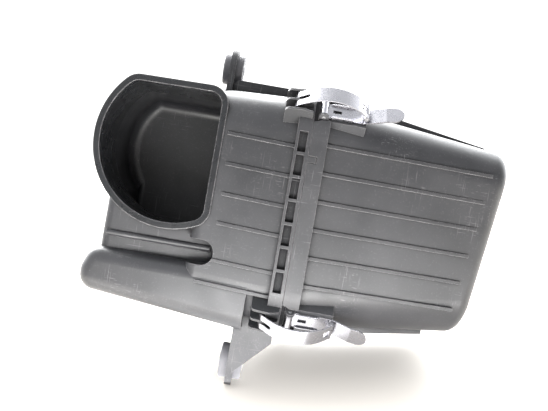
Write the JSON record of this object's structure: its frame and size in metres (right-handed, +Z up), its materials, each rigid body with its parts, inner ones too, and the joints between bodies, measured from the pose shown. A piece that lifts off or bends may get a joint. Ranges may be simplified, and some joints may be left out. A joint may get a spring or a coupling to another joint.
{
  "type": "air filter housing",
  "caption": "Moulded air filter housing: base with flat-topped inlet and mounting ears, ribbed hinged cover with outlet collar, sprung steel band latches, pleated filter inside.",
  "frame": {"origin": "centre of the lower mounting bush, on its axis", "axes": "+X along the ribs and the bush's axis towards the cover's closed end, +Z up along the joint, the ribbed front faces -Y"},
  "size_m": [0.3069, 0.2231, 0.267],
  "materials": {
    "black_moulded_plastic": "satin, fine moulded grain",
    "duct_plastic": "satin, fine moulded grain",
    "zinc_plated_steel": "bright zinc plate",
    "steel_bush": "plain turned",
    "grey_rubber": "matt",
    "gasket_rubber": "matt foam",
    "filter_card": "matt",
    "filter_paper": "pleated, resin-treated",
    "sensor_plastic": "satin",
    "tinned_brass": "bright",
    "black_screws": "black zinc"
  },
  "bodies": {
    "base": {"base_shell": "black_moulded_plastic", "base_flange": "black_moulded_plastic", "inlet_duct": "duct_plastic", "upper_latch_bracket": "black_moulded_plastic", "lower_latch_bracket": "black_moulded_plastic", "hinge_lugs": "black_moulded_plastic", "upper_mounting_ear": "black_moulded_plastic", "lower_mounting_ear": "black_moulded_plastic", "upper_grommet": "grey_rubber", "lower_grommet": "grey_rubber", "upper_bush": "steel_bush", "lower_bush": "steel_bush", "filter_gasket": "gasket_rubber", "filter_frame": "filter_card", "filter_pleats": "filter_paper"},
    "cover": {"cover_shell": "black_moulded_plastic", "cover_flange": "black_moulded_plastic", "hinge_hooks": "black_moulded_plastic", "outlet_collar": "black_moulded_plastic", "air_flow_sensor": "sensor_plastic", "sensor_terminals": "tinned_brass", "sensor_o_ring": "gasket_rubber", "sensor_screws": "black_screws", "upper_latch_seat": "black_moulded_plastic", "lower_latch_seat": "black_moulded_plastic", "upper_pivot_pin": "zinc_plated_steel", "lower_pivot_pin": "zinc_plated_steel"},
    "upper_lever": {"upper_latch_lever": "zinc_plated_steel", "upper_bow_pin": "zinc_plated_steel"},
    "upper_bow": {"upper_latch_bow": "zinc_plated_steel"},
    "lower_lever": {"lower_latch_lever": "zinc_plated_steel", "lower_bow_pin": "zinc_plated_steel"},
    "lower_bow": {"lower_latch_bow": "zinc_plated_steel"}
  },
  "joints": [
    {"name": "cover_hinge", "type": "hinge", "parent": "base", "child": "cover", "pos_m": [0.031, 0.1365, 0.119], "axis": [0, 0, 1], "range_deg": [0, 75]},
    {"name": "upper_lever_hinge", "type": "hinge", "parent": "cover", "child": "upper_lever", "pos_m": [0.0355, -0.03667, 0.1947], "axis": [0, -0.6428, -0.766], "range_deg": [0, 100]},
    {"name": "upper_bow_hinge", "type": "hinge", "parent": "upper_lever", "child": "upper_bow", "pos_m": [0.065, -0.03881, 0.1965], "axis": [0, -0.6428, -0.766], "range_deg": [-77.5, 0], "deforming": ["upper_latch_bow"]},
    {"name": "lower_lever_hinge", "type": "hinge", "parent": "cover", "child": "lower_lever", "pos_m": [0.0355, -0.03667, 0.0433], "axis": [0, 0.6428, -0.766], "range_deg": [0, 100]},
    {"name": "lower_bow_hinge", "type": "hinge", "parent": "lower_lever", "child": "lower_bow", "pos_m": [0.065, -0.03881, 0.0415], "axis": [0, 0.6428, -0.766], "range_deg": [-77.5, 0], "deforming": ["lower_latch_bow"]}
  ],
  "couplings": [
    {"joint": "upper_bow_hinge", "follows": "upper_lever_hinge", "ratio": -0.775},
    {"joint": "lower_bow_hinge", "follows": "lower_lever_hinge", "ratio": -0.775}
  ]
}
